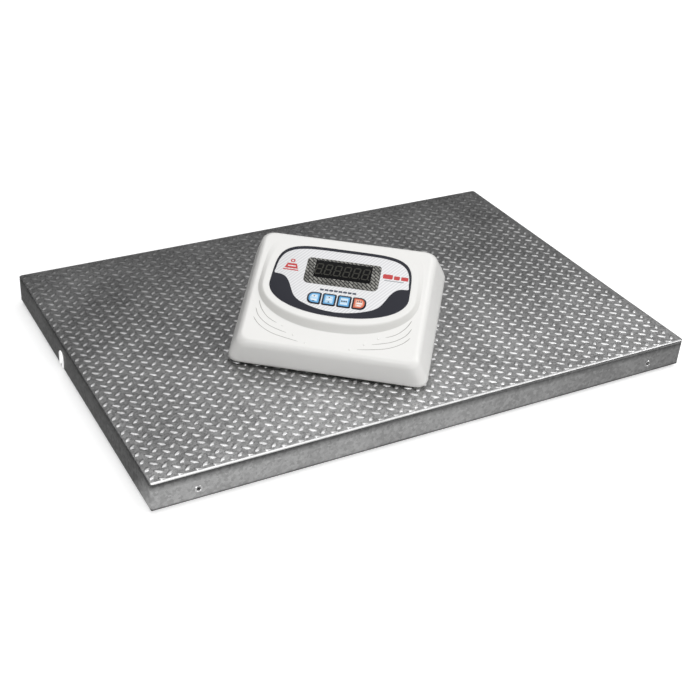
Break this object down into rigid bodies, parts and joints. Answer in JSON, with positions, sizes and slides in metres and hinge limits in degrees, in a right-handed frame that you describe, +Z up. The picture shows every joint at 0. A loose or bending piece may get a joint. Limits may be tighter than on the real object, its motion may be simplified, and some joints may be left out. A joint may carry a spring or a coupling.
{
  "type": "platform shipping scale",
  "caption": "Low steel tread-plate weighing platform on load cells and levelling feet, with a separate sloping desk-top indicator with display and keys.",
  "frame": {"origin": "centre of the platform's footprint, on the floor under its feet", "axes": "+X along the long front edge to the right, +Y to the rear, +Z up"},
  "size_m": [0.9158, 0.6096, 0.1908],
  "materials": {
    "tread_plate": "zinc-coated tread plate, spangled",
    "galvanised_rail": "zinc-coated, matt and speckled",
    "galvanised_underframe": "zinc-coated",
    "cell_alloy": "nickel-plated alloy steel",
    "plated_steel": "zinc-plated",
    "foot_steel": "zinc-plated",
    "black_rubber": "matt",
    "cable_sheath": "satin sheath",
    "box_grey": "moulded, fine texture",
    "black_plastic": "moulded",
    "light_nylon": "moulded",
    "circuit_board": "solder mask",
    "terminal_green": "moulded",
    "housing_white": "fine moulded texture, warm white",
    "overlay_print": "printed silver-white label with a navy border",
    "smoked_window": "smoked acrylic",
    "display_black": "potted display body",
    "key_blue": "embossed film",
    "key_orange": "embossed film",
    "battery_case": "moulded",
    "rocker_red": "moulded"
  },
  "bodies": {
    "platform": {"deck_plate": "tread_plate", "front_rail": "galvanised_rail", "rear_rail": "galvanised_rail", "left_rail": "galvanised_rail", "right_rail": "galvanised_rail", "stiffener_left": "galvanised_underframe", "stiffener_centre": "galvanised_underframe", "stiffener_right": "galvanised_underframe", "cell_spacers": "galvanised_underframe", "load_cell_fl": "cell_alloy", "load_cell_fr": "cell_alloy", "load_cell_rl": "cell_alloy", "load_cell_rr": "cell_alloy", "gauge_covers": "plated_steel", "cell_bolts": "plated_steel", "jam_nuts": "plated_steel", "cell_cables": "cable_sheath", "junction_box": "box_grey", "junction_lid": "box_grey", "junction_screws": "plated_steel", "cable_glands": "black_plastic", "summing_board": "circuit_board", "terminal_blocks": "terminal_green", "signal_cable": "cable_sheath", "cable_plug": "plated_steel", "coil_ties": "black_plastic", "notch_grommet": "light_nylon"},
    "indicator": {"upper_housing": "housing_white", "lower_housing": "housing_white", "face_overlay": "overlay_print", "display_window": "smoked_window", "digit_display": "display_black", "key_switches": "black_plastic", "main_board": "circuit_board", "board_screws": "plated_steel", "battery": "battery_case", "battery_strap": "plated_steel", "cell_socket": "plated_steel", "power_jack": "black_plastic", "switch_frame": "black_plastic", "housing_screws": "plated_steel", "indicator_feet": "black_rubber"},
    "foot_pad_fl": {"foot_pad_fl": "foot_steel", "foot_sole_fl": "black_rubber"},
    "foot_stem_fl": {"foot_stem_fl": "plated_steel"},
    "foot_pad_fr": {"foot_pad_fr": "foot_steel", "foot_sole_fr": "black_rubber"},
    "foot_stem_fr": {"foot_stem_fr": "plated_steel"},
    "foot_pad_rl": {"foot_pad_rl": "foot_steel", "foot_sole_rl": "black_rubber"},
    "foot_stem_rl": {"foot_stem_rl": "plated_steel"},
    "foot_pad_rr": {"foot_pad_rr": "foot_steel", "foot_sole_rr": "black_rubber"},
    "foot_stem_rr": {"foot_stem_rr": "plated_steel"},
    "key_zero": {"key_zero": "key_blue"},
    "key_tare": {"key_tare": "key_blue"},
    "key_hold": {"key_hold": "key_blue"},
    "key_power": {"key_power": "key_orange"},
    "power_rocker": {"power_rocker": "rocker_red"}
  },
  "joints": [
    {"name": "foot_travel_fl", "type": "slide", "parent": "platform", "child": "foot_pad_fl", "axis": [0, 0, -1], "range_m": [0, 0.008]},
    {"name": "foot_screw_fl", "type": "hinge", "parent": "foot_pad_fl", "child": "foot_stem_fl", "pos_m": [-0.3972, -0.2448, 0.02], "axis": [0, 0, -1], "range_deg": [0, 1935]},
    {"name": "foot_travel_fr", "type": "slide", "parent": "platform", "child": "foot_pad_fr", "axis": [0, 0, -1], "range_m": [0, 0.008]},
    {"name": "foot_screw_fr", "type": "hinge", "parent": "foot_pad_fr", "child": "foot_stem_fr", "pos_m": [0.3972, -0.2448, 0.02], "axis": [0, 0, -1], "range_deg": [0, 1935]},
    {"name": "foot_travel_rl", "type": "slide", "parent": "platform", "child": "foot_pad_rl", "axis": [0, 0, -1], "range_m": [0, 0.008]},
    {"name": "foot_screw_rl", "type": "hinge", "parent": "foot_pad_rl", "child": "foot_stem_rl", "pos_m": [-0.3972, 0.2448, 0.02], "axis": [0, 0, -1], "range_deg": [0, 1935]},
    {"name": "foot_travel_rr", "type": "slide", "parent": "platform", "child": "foot_pad_rr", "axis": [0, 0, -1], "range_m": [0, 0.008]},
    {"name": "foot_screw_rr", "type": "hinge", "parent": "foot_pad_rr", "child": "foot_stem_rr", "pos_m": [0.3972, 0.2448, 0.02], "axis": [0, 0, -1], "range_deg": [0, 1935]},
    {"name": "indicator_lift", "type": "slide", "parent": "platform", "child": "indicator", "axis": [0, 0, 1], "range_m": [0, 0.2]},
    {"name": "key_zero_press", "type": "slide", "parent": "indicator", "child": "key_zero", "axis": [0.2521, 0.3192, -0.9135], "range_m": [0, 0.0005], "stiffness_N_per_m": 400, "springref_m": -0.0003},
    {"name": "key_tare_press", "type": "slide", "parent": "indicator", "child": "key_tare", "axis": [0.2521, 0.3192, -0.9135], "range_m": [0, 0.0005], "stiffness_N_per_m": 400, "springref_m": -0.0003},
    {"name": "key_hold_press", "type": "slide", "parent": "indicator", "child": "key_hold", "axis": [0.2521, 0.3192, -0.9135], "range_m": [0, 0.0005], "stiffness_N_per_m": 400, "springref_m": -0.0003},
    {"name": "key_power_press", "type": "slide", "parent": "indicator", "child": "key_power", "axis": [0.2521, 0.3192, -0.9135], "range_m": [0, 0.0005], "stiffness_N_per_m": 400, "springref_m": -0.0003},
    {"name": "power_switch", "type": "hinge", "parent": "indicator", "child": "power_rocker", "pos_m": [0.05116, -0.07134, 0.105], "axis": [0.7848, -0.6198, 0], "range_deg": [0, 18]}
  ],
  "couplings": [
    {"joint": "foot_screw_fl", "follows": "foot_travel_fl", "rad_per_m": 4188.8},
    {"joint": "foot_screw_fr", "follows": "foot_travel_fr", "rad_per_m": 4188.8},
    {"joint": "foot_screw_rl", "follows": "foot_travel_rl", "rad_per_m": 4188.8},
    {"joint": "foot_screw_rr", "follows": "foot_travel_rr", "rad_per_m": 4188.8}
  ]
}
